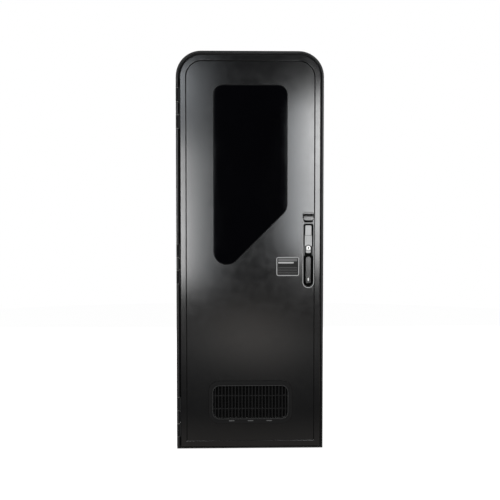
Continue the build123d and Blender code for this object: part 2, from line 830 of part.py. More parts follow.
def build():
    """All pieces by name."""
    frame_hoop, frame_sill = split_at_mitres(frame_ring(), frame_left, frame_right, 0)
    for bore in screw_holes():
        frame_hoop = frame_hoop - bore
    clamp_reach = flange_lap - clamp_lap
    clamp_hoop, clamp_sill = split_at_mitres(
        clamp_ring(), frame_left + clamp_reach, frame_right - clamp_reach, clamp_reach
    )
    leaf_hoop, leaf_bottom_rail = split_at_mitres(leaf_ring(), leaf_left, leaf_right, leaf_bottom)
    pieces = {
        "frame_hoop": frame_hoop,
        "frame_sill": frame_sill,
        "frame_seal": frame_seal(),
        "clamp_hoop": clamp_hoop,
        "clamp_sill": clamp_sill,
        "hinge_rail": hinge_rail(),
        "latch_keeper": latch_keeper(),
        "leaf_hoop": leaf_hoop,
        "leaf_bottom_rail": leaf_bottom_rail,
        "outer_skin": outer_skin(),
        "inner_skin": inner_skin(),
        "window_glass": window_glass(),
        "window_gasket": window_gasket(),
        "window_inner_trim": window_inner_trim(),
        "vent_grille": vent_grille(),
        "vent_screen": vent_screen(),
        "vent_inner_grille": vent_inner_grille(),
        "lock_escutcheon": lock_escutcheon(),
        "lock_tub": lock_tub(),
        "cap_gasket": cap_gasket(),
        "lock_cap": lock_cap(),
        "lock_insert": lock_insert(),
        "key_barrel": key_barrel(),
        "inner_lock_case": inner_lock_case(),
        "inner_lever": inner_lever(),
        "latch_faceplate": latch_faceplate(),
        "label_plate": label_plate(),
        "handle_pin": handle_pin_bar(0),
        "pull_handle": pull_handle(),
        "key_plug": key_plug(),
    }
    pieces.update(core_blocks())
    for name, centre in hinge_heights.items():
        pieces["hinge_pin_" + name] = hinge_pin(centre)
        pieces["hinge_strap_" + name] = hinge_strap(centre)
    return pieces


os.makedirs("parts", exist_ok=True)
for node, piece in build().items():
    export_step(piece, f"parts/{node}.step")
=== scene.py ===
import math
import typing

import bmesh
import bpy
from mathutils import Matrix, Vector


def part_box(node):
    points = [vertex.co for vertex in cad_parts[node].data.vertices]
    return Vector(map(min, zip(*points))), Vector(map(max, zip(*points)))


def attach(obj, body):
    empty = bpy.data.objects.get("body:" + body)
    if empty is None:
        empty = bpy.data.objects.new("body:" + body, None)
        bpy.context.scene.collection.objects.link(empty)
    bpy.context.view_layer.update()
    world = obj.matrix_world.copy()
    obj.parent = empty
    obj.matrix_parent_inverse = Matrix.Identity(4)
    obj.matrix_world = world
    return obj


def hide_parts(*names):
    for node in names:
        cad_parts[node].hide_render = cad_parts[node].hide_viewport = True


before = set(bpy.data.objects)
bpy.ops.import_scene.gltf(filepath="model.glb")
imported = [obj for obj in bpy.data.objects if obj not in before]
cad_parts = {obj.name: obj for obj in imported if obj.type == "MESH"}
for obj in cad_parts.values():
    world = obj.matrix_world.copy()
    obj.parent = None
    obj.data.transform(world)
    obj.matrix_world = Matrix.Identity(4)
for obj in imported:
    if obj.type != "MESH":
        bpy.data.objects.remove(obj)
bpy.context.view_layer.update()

bl_info = {
    "name": "Caravan Entry Door",
    "version": (1, 0, 0),
    "blender": (4, 5, 0),
    "location": "View3D > Sidebar > Entry Door",
    "description": "Finishes, small hardware and a studio for a caravan entry door",
    "category": "Object",
}

HINGES = ("upper", "middle", "lower")
KNUCKLES = 3
OUTSIDE = Vector((0, -1, 0))
INSIDE = Vector((0, 1, 0))
LEFT = Vector((-1, 0, 0))
RIGHT = Vector((1, 0, 0))
UP = Vector((0, 0, 1))
EVEN = (1.0, 1.0, 1.0)
WHITE = (1.0, 1.0, 1.0)

# Range that noise hardly leaves
NOISE_LOW = 0.3
NOISE_HIGH = 0.7

# Angles in degrees: the least of a sharp edge, and the steps along fine and coarse curves
SHARP_ANGLE = 35
FINE_TURN = 5.625
COARSE_TURN = 15

# Counts of points along a side of the painted highlight on the lock's rim, round the inlay and round the
# floor
RIM_HIGHLIGHT_POINTS = 9
INLAY_POINTS = 40
FLOOR_POINTS = 64

# Counts of screws in a row, and of rules on the label plate
STRAP_SCREWS = 4
TRIM_LEFT_SCREWS = 5
TRIM_RIGHT_SCREWS = 4
GRILLE_SCREWS = 3
LABEL_RULES = 5

# Height of a screw head, top of its crown and its cross recess, as shares of its radius
SCREW_HEIGHT = 0.5
SCREW_CROWN = 0.55
CROSS_REACH = 0.45
CROSS_WIDTH = 0.2

# Straight rim of a screw head and floor of its recess, as shares of its height
SCREW_RIM = 0.35
CROSS_FLOOR = 0.45

# Steps of the inlay's dome, each with its share of the width and of the depth
INLAY_DOME = ((1.0, 0.0), (1.0, 0.35), (0.92, 0.6), (0.7, 0.8), (0.35, 0.92))

# How far a wire of the insect screen bends at a crossing, as a share of its diameter
WIRE_BEND = 0.48

# Rounding of the painted shade over the keyway, as a share of half its width
KEYWAY_SHADE_ROUNDING = 0.98

# How far the painted shadow below the lock's cap runs up each corner, in degrees
SHADOW_SWEEP = 45

# Share of the label plate's thickness that its border takes
BORDER_SHARE = 0.2

# What polished faces show of the room: places from straight before the door to straight behind it, and levels
WALL_LEVELS = ((0.035, 0.015), (0.125, 0.60), (0.52, 0.60), (0.85, 1.0))

# Slopes of a sight line between which the walls brighten, and the share of their light that is left below
FADE_FOOT = -0.2
FADE_HEAD = 0.15
FADE_SHARE = 0.25


class Pattern(typing.NamedTuple):
    """Uneven pattern on a surface, with the size of its spots in metres."""

    size: float
    detail: float = 2.0
    stretch: tuple = EVEN
    cells: bool = False


class Finish(typing.NamedTuple):
    """Recipe of a finish, whose colour is a setting's name.

    Its tone is a pattern and a contrast, its roughness a pattern with the least and the most, and its relief
    a pattern with a depth in metres and a strength.
    """

    colour: str
    tone: tuple
    rough: tuple
    relief: tuple = None
    gloss: float = 0.5
    metal: float = 0.0


class Strip(typing.NamedTuple):
    """Printed strip of the label plate, with its place below the plate's head and its sizes in metres."""

    drop: float
    right_margin: float
    height: float
    corner: float


class Pool(typing.NamedTuple):
    """Soft pool of light or shade on the floor, which only reflections show, from its rim to its heart."""

    place: tuple
    reach: tuple
    rim: float
    heart: float
    core: float = 1.0


class Softbox(typing.NamedTuple):
    """Soft lamp from left to right and from foot to head in metres, and its brightness, where 1 is white."""

    name: str
    width: tuple
    height: tuple
    glow: float
    cool: bool = False
    side: Vector = OUTSIDE


LABEL_BAR = Strip(0.022, 0.024, 0.0065, 0.001)
LABEL_BAND = Strip(0.006, 0.008, 0.0130, 0.001)
LABEL_RULE = Strip(0.046, 0.008, 0.0011, 0.0004)

FAR_POOL = Pool((0.12, -4.1, 0.0), (0.68, 3.0, 1.0), 0.0, 1.6)
NEAR_POOL = Pool((0.0, 0.0, 0.0), (2.5, 0.85, 1.0), 0.0, 0.46)
SHADED_POOL = Pool((0.0, -2.0, 0.0), (2.0, 5.0, 1.0), 0.60, 0.02, core=0.45)

SOFTBOXES = (
    Softbox("left_low", (-0.94, -0.46), (0.40, 1.15), 27.0),
    Softbox("left_mid", (-0.94, -0.46), (1.15, 1.62), 21.5),
    Softbox("left_high", (-0.94, -0.46), (1.62, 2.02), 7.5, cool=True),
    Softbox("left_head", (-0.94, -0.46), (2.02, 2.36), 15.0, cool=True),
    Softbox("left_edge", (-0.46, -0.21), (0.40, 1.62), 4.3, cool=True),
    Softbox("left_top", (-0.46, -0.21), (1.62, 2.30), 2.2, cool=True),
    Softbox("right_low", (0.63, 1.15), (0.545, 1.42), 21.5),
    Softbox("right_high", (0.63, 1.15), (1.42, 2.06), 27.0),
    Softbox("right_edge", (0.445, 0.63), (0.70, 2.00), 12.0, cool=True),
    Softbox("rear_left", (-3.2, -0.8), (0.4, 2.8), 6.0, side=INSIDE),
    Softbox("rear_right", (0.8, 3.2), (0.4, 2.8), 6.0, side=INSIDE),
)


def plastic(colour, rough, gloss):
    """Recipe of a moulded plastic or a dull coat with a fine spark grain."""
    wear = Pattern(0.006, 3.0), rough - 0.03, rough + 0.03
    return Finish(colour, (Pattern(0.040), 0.06), wear, (Pattern(0.0006), 0.00003, 0.4), gloss)


def ink(colour):
    """Recipe of a print on the label plate."""
    return Finish(colour, (Pattern(0.001), 0.06), (Pattern(0.002), 0.40, 0.50), gloss=0.15)


FINISHES = {
    # Powder coat with a faint orange peel
    "satin_black_paint": Finish(
        "paint",
        tone=(Pattern(0.120), 0.12),
        rough=(Pattern(0.035, 3.0), 0.135, 0.165),
        relief=(Pattern(0.0035), 0.00004, 0.35),
        gloss=0.35,
    ),
    # Inside sheet with a stucco pressed into it
    "stucco_black_sheet": Finish(
        "paint",
        tone=(Pattern(0.080), 0.15),
        rough=(Pattern(0.020), 0.34, 0.42),
        relief=(Pattern(0.0045, cells=True), 0.0003, 0.6),
        gloss=0.35,
    ),
    # Almost black pane with faint wipe marks
    "tinted_glass": Finish(
        "glass",
        tone=(Pattern(0.200), 0.10),
        rough=(Pattern(0.060, 4.0, (1.0, 1.0, 0.3)), 0.02, 0.045),
        gloss=0.2,
    ),
    # Matt rubber with a talc bloom
    "seal_rubber": Finish(
        "rubber",
        tone=(Pattern(0.015, 4.0), 0.25),
        rough=(Pattern(0.008), 0.55, 0.70),
        relief=(Pattern(0.0008), 0.00005, 0.5),
        gloss=0.1,
    ),
    "matt_black_frame": plastic("frame_coat", rough=0.38, gloss=0.26),
    "gloss_black_plastic": plastic("gloss_plastic", rough=0.18, gloss=0.31),
    "matt_black_plastic": plastic("matt_plastic", rough=0.55, gloss=0.12),
    "matt_black_coat": plastic("matt_coat", rough=0.36, gloss=0.40),
    "dull_black_coat": plastic("matt_coat", rough=0.55, gloss=0.15),
    # Dull black of the films of painted shade, and of the lock's tub, pin and gasket, darkened to stand in
    # for the shade in its hollows
    "dull_black": plastic("dull_black", rough=0.75, gloss=0.05),
    "light_grey_plastic": plastic("grey_plastic", rough=0.42, gloss=0.35),
    # Light grey of the painted highlight on the lock's rim
    "light_bead": plastic("bead", rough=0.45, gloss=0.30),
    # Grey of the vent's clips, and of the painted light on the lock tub's walls
    "clip_plastic": plastic("clip", rough=0.45, gloss=0.30),
    # Grey of the painted highlight round the vent's opening
    "worn_plastic": plastic("vent_edge", rough=0.50, gloss=0.20),
    # Turned metal with fine rings left by the tool
    "satin_metal": Finish(
        "bright_metal",
        tone=(Pattern(0.004), 0.05),
        rough=(Pattern(0.0010, 2.0, (1.0, 1.0, 4.0)), 0.50, 0.58),
        relief=(Pattern(0.0004, 1.0, (1.0, 1.0, 6.0)), 0.00001, 0.3),
        metal=1.0,
    ),
    # Zinc plate with a soft mottle
    "zinc_steel": Finish(
        "steel",
        tone=(Pattern(0.006, cells=True), 0.12),
        rough=(Pattern(0.003, 3.0), 0.32, 0.46),
        relief=(Pattern(0.0010), 0.00002, 0.3),
        metal=1.0,
    ),
    "white_enamel": Finish("inlay", (Pattern(0.003), 0.03), (Pattern(0.002), 0.22, 0.30)),
    # Matt film whose tone comes with its border
    "bordered_film": Finish(
        "label_field",
        tone=None,
        rough=(Pattern(0.004, 3.0), 0.48, 0.60),
        relief=(Pattern(0.0005), 0.00002, 0.3),
        gloss=0.15,
    ),
    "silver_print": ink("label_line"),
    "grey_print": ink("label_band"),
    "coated_wire": Finish("screen", (Pattern(0.002), 0.20), (Pattern(0.001), 0.45, 0.60), gloss=0.10),
    "nylon": Finish("nylon", (Pattern(0.004), 0.05), (Pattern(0.002), 0.40, 0.50)),
    # Cut foam with fine open cells
    "rigid_foam": Finish(
        "foam",
        tone=(Pattern(0.012, 4.0), 0.08),
        rough=(Pattern(0.006), 0.85, 0.95),
        relief=(Pattern(0.0012, cells=True), 0.0003, 0.6),
    ),
}

PALE_FLOOR = Finish("floor", (Pattern(0.4), 0.01), (Pattern(0.1), 0.85, 0.95), gloss=0.0)


def Colour(name, description, default):
    """Colour that a user may change."""
    return bpy.props.FloatVectorProperty(
        name=name, description=description, subtype="COLOR", size=3, min=0.0, max=1.0, default=default
    )


def Grey(name, description, level):
    """Colour that is grey at first."""
    return Colour(name, description, (level, level, level))


def Length(name, description, default):
    """Size in metres that a user may change."""
    return bpy.props.FloatProperty(
        name=name, description=description, unit="LENGTH", min=0.0, precision=4, default=default
    )


def Place(name, description, default):
    """Place in metres that a user may change."""
    return bpy.props.FloatVectorProperty(
        name=name, description=description, subtype="TRANSLATION", unit="LENGTH", size=3, default=default
    )


def Share(name, description, default):
    """Share between nothing and all that a user may change."""
    return bpy.props.FloatProperty(
        name=name, description=description, subtype="FACTOR", min=0.0, max=1.0, default=default
    )


class DoorFinishSettings(bpy.types.PropertyGroup):
    """Colours of the door's finishes."""

    paint: Colour("Paint", "Satin black of the leaf", (0.0032, 0.0032, 0.0034))
    glass: Colour("Glass", "Tint of the window pane", (0.0012, 0.0012, 0.0018))
    rubber: Grey("Rubber", "Seals and gaskets", 0.0040)
    gloss_plastic: Colour("Gloss plastic", "Plate, cap and paddle of the lock", (0.0040, 0.0040, 0.0042))
    matt_plastic: Grey("Matt plastic", "Vent and inside mouldings", 0.0032)
    matt_coat: Colour("Matt coat", "Hinge rail and hinge straps", (0.0045, 0.0045, 0.0048))
    frame_coat: Colour("Frame coat", "Frame and clamp ring", (0.0034, 0.0034, 0.0036))
    # Painted shade: this dull black stands in for the shade in seams, gaps and the lock's hollows
    dull_black: Grey("Dull black", "Sealant and hollows of the lock", 0.0030)
    grey_plastic: Grey("Grey plastic", "Insert and barrel of the lock", 0.44)
    # Painted highlight: light grey of the bead that stands in for the light on the lock's rim
    bead: Grey("Bead", "Bead round the lock", 0.74)
    # The clip grey also paints the light on the lock tub's walls beside the barrel
    clip: Grey("Clip", "Vent's clips and cheeks of the lock", 0.085)
    # Painted highlight: grey of the light line round the vent's opening
    vent_edge: Grey("Vent edge", "Worn edge round the vent's bars", 0.055)
    bright_metal: Colour("Bright metal", "Key plug", (0.56, 0.56, 0.55))
    steel: Colour("Steel", "Pins, latch plates and screws", (0.52, 0.52, 0.53))
    inlay: Colour("Inlay", "Oval inlay of the pull handle", (0.80, 0.80, 0.78))
    label_field: Grey("Label field", "Bare field of the label plate", 0.0080)
    label_line: Grey("Label line", "Border and bar of the label plate", 0.46)
    label_band: Grey("Label band", "Plain band and rules of the label plate", 0.13)
    screen: Grey("Screen", "Woven insect screen", 0.0025)
    nylon: Colour("Nylon", "Washers between the hinge knuckles", (0.70, 0.69, 0.66))
    foam: Colour("Foam", "Rigid foam between the skins", (0.75, 0.73, 0.66))


class DoorHardwareSettings(bpy.types.PropertyGroup):
    """Sizes of the small hardware."""

    screw_diameter: Length("Screw", "Diameter of a screw head", 0.0064)
    screw_margin: Length("Screw margin", "From the end of a plate to its first screw", 0.012)
    strap_plate: Length("Strap plate", "Thickness of a hinge strap's plate", 0.003)
    strap_shift: Length("Strap shift", "From the middle of a strap inwards to its screws", 0.004)
    washer_thickness: Length("Washer", "Thickness of a hinge washer", 0.00046)
    seam_width: Length("Seam", "Width of the seam between the band and the sheet", 0.0031)
    # Thickness of the dull black film of painted shade in the seam
    seam_shade_thickness: Length("Seam fill", "Thickness of the sealant in the seam", 0.0004)
    sheet_corner: Length("Sheet corner", "Radius of the sheet's upper corners", 0.0685)
    head_clear: Length("Trim head", "From the window's corners to its trim's screws", 0.09)
    foot_clear: Length("Trim foot", "From the window's foot to the first screw on the left", 0.10)
    knee_clear: Length("Trim knee", "From the window's foot to the first screw on the right", 0.30)
    wire_pitch: Length("Wire pitch", "From one wire of the insect screen to the next", 0.003)
    wire_diameter: Length("Wire", "Diameter of the insect screen's wire", 0.0005)
    clip_pitch: Length("Clip pitch", "From one clip of the vent to the next", 0.084)
    clip_width: Length("Clip width", "Width of a clip's face", 0.0245)
    clip_height: Length("Clip height", "Height of a clip's face", 0.0041)
    clip_drop: Length("Clip drop", "From the vent's opening down to the middle of a clip", 0.0107)
    # Place and width of the painted highlight round the vent's opening
    highlight_offset: Length("Edge offset", "From the vent's opening out to its worn edge", 0.0019)
    edge_width: Length("Edge width", "Width of the vent's worn edge", 0.0012)
    vent_corner: Length("Vent corner", "Radius of the corners of its opening", 0.0265)
    vent_flange: Length("Vent flange", "Thickness of the vent's flange", 0.003)
    grille_margin: Share("Grille margin", "Share of the grille's height from its ends to its screws", 0.2)
    # Sizes of the painted highlight on the lock's rim, drawn as a light bead
    rim_highlight_width: Length("Bead", "Width of the light bead round the lock", 0.0016)
    rim_highlight_rise: Length("Bead rise", "How far the bead stands out", 0.0003)
    rim_highlight_inset: Length("Bead inset", "From the plate's edge to the middle of the bead", 0.00125)
    inlay_width: Length("Inlay width", "Width of the handle's inlay", 0.0062)
    inlay_height: Length("Inlay height", "Height of the handle's inlay", 0.0143)
    inlay_rise: Length("Inlay place", "From the handle's foot to the middle of its inlay", 0.019)
    inlay_depth: Length("Inlay depth", "How deep the inlay sits", 0.0008)
    # Size of the painted shade over the keyway
    keyhole_width: Length("Keyhole width", "Width of the keyway's cover", 0.0044)
    keyhole_height: Length("Keyhole height", "Height of the keyway's cover", 0.0102)
    insert_head: Length("Insert head", "From the insert's head to its seam", 0.044)
    barrel_foot: Length("Barrel foot", "From the barrel's foot to its seam", 0.010)
    lock_seam: Length("Lock seam", "Height of the seams in the lock", 0.0014)
    lock_seam_depth: Length("Lock seam depth", "Depth of the seams in the lock", 0.0015)
    plate_thickness: Length("Plate", "Thickness of the lock's plate", 0.003)
    # Width and corner radius of the painted shadow below the lock's cap
    cap_shadow_width: Length("Lip", "Width of the dark lip below the lock's cap", 0.0024)
    cap_shadow_corner: Length("Lip corner", "Radius of the lip's corners", 0.01125)
    tub_wall: Length("Tub wall", "Thickness of the lock's tub", 0.002)
    # Cheeks that carry the painted light on the lock tub's walls
    cheek_setback: Length("Cheek setback", "From the insert's face back to a cheek", 0.001)
    cheek_depth: Length("Cheek depth", "Thickness of a cheek beside the barrel", 0.004)
    cheek_drop: Length("Cheek drop", "From the barrel's foot down to a cheek's foot", 0.012)
    border_rise: Length("Label border", "How far the label plate's border stands out", 0.0004)
    label_margin: Length("Label margin", "From the label plate's left side to its print", 0.008)
    rules_rise: Length("Rules rise", "From the label plate's foot to its last rule", 0.009)
    # Also the thickness of the clips' light faces and of the films of painted light and shade
    film_thickness: Length("Film", "Thickness of a rule, a worn face or a cover", 0.00015)


class DoorStudioSettings(bpy.types.PropertyGroup):
    """Camera, lamps and floor."""

    eye: Place("Eye", "Place of the camera", (-0.1127, -4.0, 1.0971))
    aim: Place("Aim", "Point that the camera looks at", (0.0003, 0.0, 0.8932))
    lens: bpy.props.FloatProperty(
        name="Lens", description="Focal length of the camera", unit="CAMERA", min=1.0, default=64.47
    )
    lamp_distance: Length("Lamp distance", "From the door to the softboxes", 4.0)
    ambient: Share("Ambient", "Light of the room from all round", 0.20)
    cool_tone: Colour("Cool tone", "Tone of the softboxes' edges and upper ends", (0.90, 0.95, 1.0))
    floor: Grey("Floor", "Pale floor", 0.32)
    floor_drop: Length("Floor drop", "From the door's foot down to the floor", 0.0005)
    floor_lift: Share("Floor lift", "Share of white that lifts the floor to the background", 0.92)
    floor_radius: Length("Floor radius", "Reach of the floor round the door", 6.0)
    # Tone of the painted light that the floor shows only in reflections
    pool_tone: Colour("Pool tone", "Warm tone of the floor in reflections", (1.0, 0.92, 0.85))


def hardware():
    """Small sizes that the user has set."""
    return bpy.context.scene.door_hardware


def add_node(tree, kind, inputs, **settings):
    """Node with its settings. What goes into it is a constant or the output of another node."""
    node = tree.nodes.new("ShaderNode" + kind)
    for name, value in settings.items():
        setattr(node, name, value)
    for socket, value in inputs.items():
        if isinstance(value, bpy.types.NodeSocket):
            tree.links.new(value, node.inputs[socket])
        else:
            node.inputs[socket].default_value = value
    return node


def add_ramp(tree, factor, stops, interpolation="LINEAR"):
    """Colours along a number, from places and colours in rising order."""
    node = add_node(tree, "ValToRGB", {"Fac": factor})
    node.color_ramp.interpolation = interpolation
    elements = node.color_ramp.elements
    for element, (place, colour) in zip(elements, (stops[0], stops[-1])):
        element.position = place
        element.color = colour
    for place, colour in stops[1:-1]:
        elements.new(place).color = colour
    return node.outputs["Color"]


def joined(tree, operation, first, second):
    """Two numbers of a node tree brought together."""
    return add_node(tree, "Math", {0: first, 1: second}, operation=operation).outputs["Value"]


def surface_place(tree, stretch=EVEN):
    """Place on the piece in metres, stretched along its axes."""
    place = add_node(tree, "TexCoord", {}).outputs["Object"]
    return add_node(tree, "Mapping", {"Vector": place, "Scale": stretch}).outputs["Vector"]


def drawn(tree, pattern):
    """Noise or rounded cells on the piece."""
    inputs = {"Vector": surface_place(tree, pattern.stretch), "Scale": 1 / pattern.size}
    if pattern.cells:
        return add_node(tree, "TexVoronoi", inputs).outputs["Distance"]
    inputs["Detail"] = pattern.detail
    return add_node(tree, "TexNoise", inputs).outputs["Fac"]


def shade(colour, share):
    """Colour made darker or lighter by a share."""
    return tuple(min(part * share, 1.0) for part in colour) + (1.0,)


def tint(tree, shader, colour, pattern, contrast):
    """Lets a pattern move a colour a little to either side."""
    stops = ((NOISE_LOW, shade(colour, 1 - contrast)), (NOISE_HIGH, shade(colour, 1 + contrast)))
    tree.links.new(add_ramp(tree, drawn(tree, pattern), stops), shader.inputs["Base Color"])


def roughen(tree, shader, pattern, low, high):
    """Lets a pattern move the roughness between two values."""
    inputs = {
        "Value": drawn(tree, pattern),
        "From Min": NOISE_LOW,
        "From Max": NOISE_HIGH,
        "To Min": low,
        "To Max": high,
    }
    tree.links.new(add_node(tree, "MapRange", inputs).outputs["Result"], shader.inputs["Roughness"])


def emboss(tree, shader, pattern, depth, strength):
    """Raises a pattern from the surface by a depth in metres."""
    inputs = {"Height": drawn(tree, pattern), "Distance": depth, "Strength": strength}
    tree.links.new(add_node(tree, "Bump", inputs).outputs["Normal"], shader.inputs["Normal"])


def new_finish(name, recipe, colour):
    """Material made from a recipe and a colour, and its tree and its shader."""
    material = bpy.data.materials.new(name)
    material.use_nodes = True
    tree = material.node_tree
    shader = tree.nodes["Principled BSDF"]
    shader.inputs["Specular IOR Level"].default_value = recipe.gloss
    shader.inputs["Metallic"].default_value = recipe.metal
    if recipe.tone:
        tint(tree, shader, colour, *recipe.tone)
    roughen(tree, shader, *recipe.rough)
    if recipe.relief:
        emboss(tree, shader, *recipe.relief)
    return material, tree, shader


def finish_of(name):
    """Material of a finish, made at its first use."""
    recipe = FINISHES[name]
    colour = getattr(bpy.context.scene.door_finishes, recipe.colour)
    return bpy.data.materials.get(name) or new_finish(name, recipe, colour)[0]


def light_pool(tree, pool):
    """Level of a pool on the floor, from its rim to its heart."""
    place = add_node(tree, "TexCoord", {}).outputs["Object"]
    inputs = {"Vector": place, "Location": pool.place, "Scale": pool.reach}
    spot = add_node(tree, "Mapping", inputs, vector_type="TEXTURE").outputs["Vector"]
    depth = add_node(tree, "TexGradient", {"Vector": spot}, gradient_type="SPHERICAL").outputs["Fac"]
    inputs = {"Value": depth, "From Max": pool.core, "To Min": pool.rim, "To Max": pool.heart}
    return add_node(tree, "MapRange", inputs, interpolation_type="SMOOTHSTEP").outputs["Result"]


def pale_floor(studio):
    """Matt floor with a faint unevenness, lifted towards white where it is seen, that glows in reflections
    with painted pools of warm light and of shade.
    """
    material, tree, shader = new_finish("pale_floor", PALE_FLOOR, studio.floor)
    rays = add_node(tree, "LightPath", {}).outputs
    stops = ((0.0, shade(WHITE, 1)), (1.0, shade(studio.pool_tone, 1)))
    tree.links.new(add_ramp(tree, rays["Is Glossy Ray"], stops), shader.inputs["Emission Color"])
    clear = joined(tree, "MAXIMUM", rays["Is Camera Ray"], rays["Is Transmission Ray"])
    lift = joined(tree, "MULTIPLY", clear, studio.floor_lift)
    lit = joined(tree, "MAXIMUM", light_pool(tree, FAR_POOL), light_pool(tree, NEAR_POOL))
    pools = joined(tree, "MAXIMUM", lit, light_pool(tree, SHADED_POOL))
    gleam = joined(tree, "MULTIPLY", rays["Is Glossy Ray"], pools)
    tree.links.new(joined(tree, "MAXIMUM", lift, gleam), shader.inputs["Emission Strength"])
    return material


def dress(finish, *nodes):
    """Gives CAD nodes a finish."""
    for node in nodes:
        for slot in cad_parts[node].material_slots:
            slot.material = finish_of(finish)


def new_piece(name, work, finish, body):
    """Turns a worked mesh into a piece that moves with a body."""
    bmesh.ops.recalc_face_normals(work, faces=work.faces)
    mesh = bpy.data.meshes.new(name)
    work.to_mesh(mesh)
    work.free()
    mesh.shade_smooth()
    mesh.set_sharp_from_angle(angle=math.radians(SHARP_ANGLE))
    mesh.materials.append(finish_of(finish))
    piece = bpy.data.objects.new(name, mesh)
    bpy.context.scene.collection.objects.link(piece)
    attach(piece, body)
    return piece


def loop_of(work, points):
    """Vertices of a loop."""
    return [work.verts.new(point) for point in points]


def join_loops(work, first, second, closed=True):
    """Band of faces between two loops of the same count."""
    count = len(first)
    for step in range(count if closed else count - 1):
        after = (step + 1) % count
        work.faces.new((first[step], first[after], second[after], second[step]))


def join_row(work, loops):
    """Bands of faces from the first loop of a row to the last, which stay open."""
    for first, second in zip(loops, loops[1:]):
        join_loops(work, first, second)


def close_row(work, loops):
    """Solid along a row of loops, with a face at either end."""
    join_row(work, loops)
    work.faces.new(loops[0])
    work.faces.new(loops[-1])


def turned(work, profile, place, count=24):
    """Skin turned about the Z axis of a place, from radii and heights."""
    loops = []
    for radius, height in profile:
        turns = [math.tau * step / count for step in range(count)]
        points = [Vector((radius * math.cos(t), radius * math.sin(t), height)) for t in turns]
        loops.append(loop_of(work, [place @ point for point in points]))
    join_row(work, loops)
    return loops


def cross_outline(reach, width):
    """Twelve corners of a cross."""
    half = width / 2
    arm = [(reach, -half), (reach, half), (half, half)]
    corners = []
    for quarter in range(4):
        turn = Matrix.Rotation(math.tau * quarter / 4, 3, "Z")
        corners += [turn @ Vector((x, y, 0)) for x, y in arm]
    return corners


def screw_head(work, seat, facing):
    """Low pan head with a cross recess."""
    radius = hardware().screw_diameter / 2
    height = radius * SCREW_HEIGHT
    place = Matrix.Translation(seat) @ facing.to_track_quat("Z", "Y").to_matrix().to_4x4()
    profile = [(radius, 0), (radius, height * SCREW_RIM)]
    for degrees in (30, 60, 90):
        turn = math.radians(degrees)
        across = SCREW_CROWN + (1 - SCREW_CROWN) * math.cos(turn)
        up = SCREW_RIM + (1 - SCREW_RIM) * math.sin(turn)
        profile.append((radius * across, height * up))
    loops = turned(work, profile, place)
    work.faces.new(loops[0])
    outline = cross_outline(radius * CROSS_REACH, radius * CROSS_WIDTH)
    rim = loop_of(work, [place @ (point + UP * height) for point in outline])
    floor = loop_of(work, [place @ (point + UP * height * CROSS_FLOOR) for point in outline])
    join_loops(work, rim, floor)
    work.faces.new(floor)
    edges = []
    for loop in (loops[-1], rim):
        for step, vertex in enumerate(loop):
            after = loop[(step + 1) % len(loop)]
            edges.append(work.edges.get((vertex, after)) or work.edges.new((vertex, after)))
    bmesh.ops.triangle_fill(work, use_beauty=True, edges=edges)


def screws(name, seats, facing, body):
    """Row of alike screws on one plate."""
    work = bmesh.new()
    for seat in seats:
        screw_head(work, seat, facing)
    new_piece(name, work, "zinc_steel", body)


def even_steps(low, high, count):
    """Values spread evenly from a low one to a high one."""
    return [low + (high - low) * step / (count - 1) for step in range(count)]


def arc_points(centre, radius, start, end, turn=FINE_TURN):
    """Points on an arc drawn in X and Z, from one angle to another in degrees, about a turn apart."""
    points = []
    for angle in even_steps(math.radians(start), math.radians(end), round((end - start) / turn) + 1):
        points.append((centre[0] + radius * math.cos(angle), centre[1] + radius * math.sin(angle)))
    return points


def arched_path(left, right, bottom, top, radius):
    """Open path up one side, over the head with its round corners and down the other side, in X and Z."""
    points = [(right, bottom)]
    points += arc_points((right - radius, top - radius), radius, 0, 90)
    points += arc_points((left + radius, top - radius), radius, 90, 180)
    return points + [(left, bottom)]


def round_cornered_outline(left, right, bottom, top, radius):
    """Closed rectangle with four round corners, in X and Z."""
    corners = [
        ((right - radius, top - radius), 0),
        ((left + radius, top - radius), 90),
        ((left + radius, bottom + radius), 180),
        ((right - radius, bottom + radius), 270),
    ]
    points = []
    for centre, start in corners:
        points += arc_points(centre, radius, start, start + 90, COARSE_TURN)
    return points


def round_cornered_plate(x, z, width, height, radius):
    """Closed rectangle with four round corners about a middle, in X and Z."""
    return round_cornered_outline(x - width / 2, x + width / 2, z - height / 2, z + height / 2, radius)


def flat_strip(work, outline, front, back):
    """Thin plate of an outline drawn in X and Z, between two depths."""
    close_row(work, [loop_of(work, [(x, depth, z) for x, z in outline]) for depth in (front, back)])


def new_films(name, outlines, face, finish, body):
    """Piece of thin films on a face, from outlines drawn in X and Z."""
    work = bmesh.new()
    for outline in outlines:
        flat_strip(work, outline, face - hardware().film_thickness, face)
    new_piece(name, work, finish, body)


def flat_band(work, outer, inner, front, back, closed):
    """Thin band between two paths of the same count, drawn in X and Z, between two depths."""
    loops = []
    for outline, depth in ((outer, back), (outer, front), (inner, front), (inner, back)):
        loops.append(loop_of(work, [(x, depth, z) for x, z in outline]))
    for step, loop in enumerate(loops):
        join_loops(work, loop, loops[(step + 1) % len(loops)], closed)
    if not closed:
        work.faces.new([loop[0] for loop in loops])
        work.faces.new([loop[-1] for loop in loops])


def round_bead(work, path, depth, width, rise, count=8):
    """Bead of half-round section along an open path in X and Z, standing on a depth."""
    loops = []
    for step, (x, z) in enumerate(path):
        before = Vector(path[max(step - 1, 0)])
        after = Vector(path[min(step + 1, len(path) - 1)])
        along = (after - before).normalized()
        aside = Vector((along.y, 0, -along.x)) * (width / 2)
        section = []
        for turn in even_steps(0, math.pi, count):
            section.append(Vector((x, depth, z)) + aside * math.cos(turn) + OUTSIDE * (rise * math.sin(turn)))
        loops.append(loop_of(work, section))
    close_row(work, loops)


